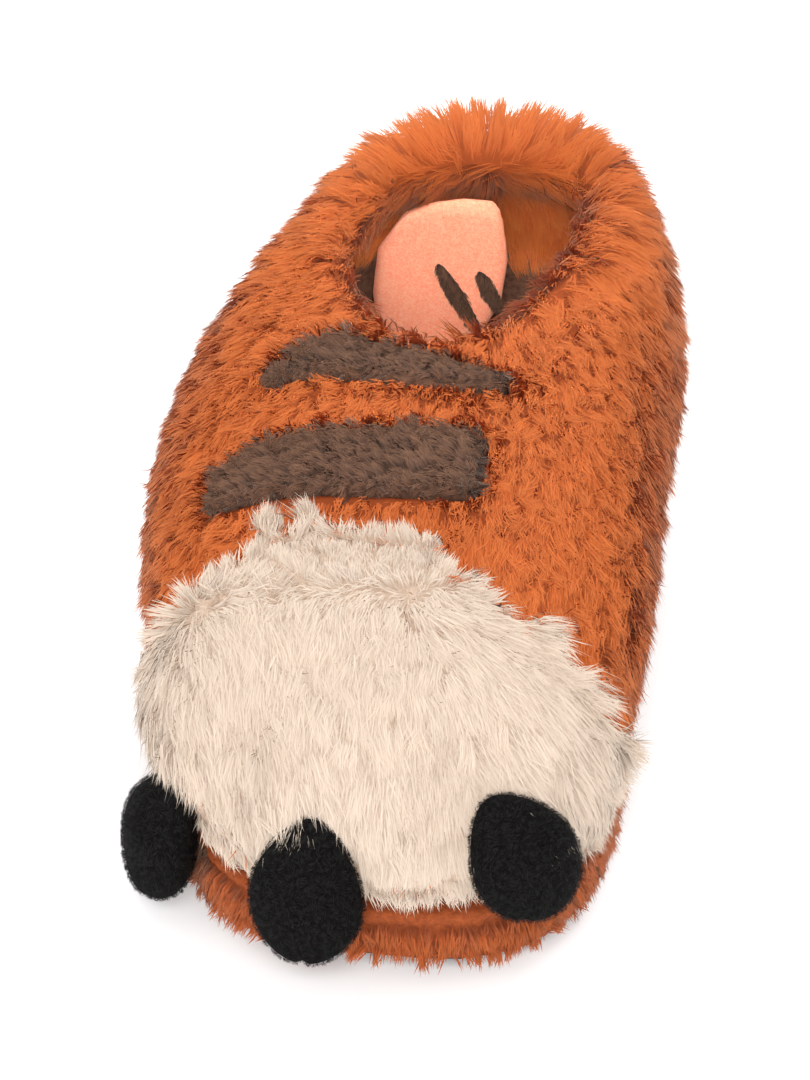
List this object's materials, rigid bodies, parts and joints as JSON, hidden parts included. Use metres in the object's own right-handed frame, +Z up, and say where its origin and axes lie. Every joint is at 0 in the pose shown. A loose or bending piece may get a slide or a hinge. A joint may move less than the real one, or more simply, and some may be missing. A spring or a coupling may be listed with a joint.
{
  "type": "animal slipper",
  "caption": "Plush slipper shaped as a tiger's paw: rust pile with dark stripes, cream padded toes, black felt claws, coral tab inside the heel.",
  "frame": {"origin": "on the floor, in the middle of the slipper's length and width", "axes": "toes point to -Y, heel to +Y, +X is the inner side of the foot, +Z is up"},
  "size_m": [0.1554, 0.2984, 0.1176],
  "materials": {
    "rust_plush": "clumped pile, matte",
    "cream_plush": "long brushed pile, matte",
    "dark_plush": "clumped pile, matte",
    "black_felt": "stuffed felt, matte",
    "coral_velour": "short velour, soft sheen",
    "lining_cloth": "smooth knit, matte",
    "sole_sheet": "dotted grip sheet, matte"
  },
  "bodies": {
    "root": {"outsole": "sole_sheet", "midsole": "rust_plush", "insole": "lining_cloth", "upper": "rust_plush", "toe_cap": "cream_plush", "claw_lateral": "black_felt", "claw_middle": "black_felt", "claw_medial": "black_felt", "stripe_front": "dark_plush", "stripe_rear": "dark_plush", "heel_tab": "coral_velour"}
  },
  "joints": []
}
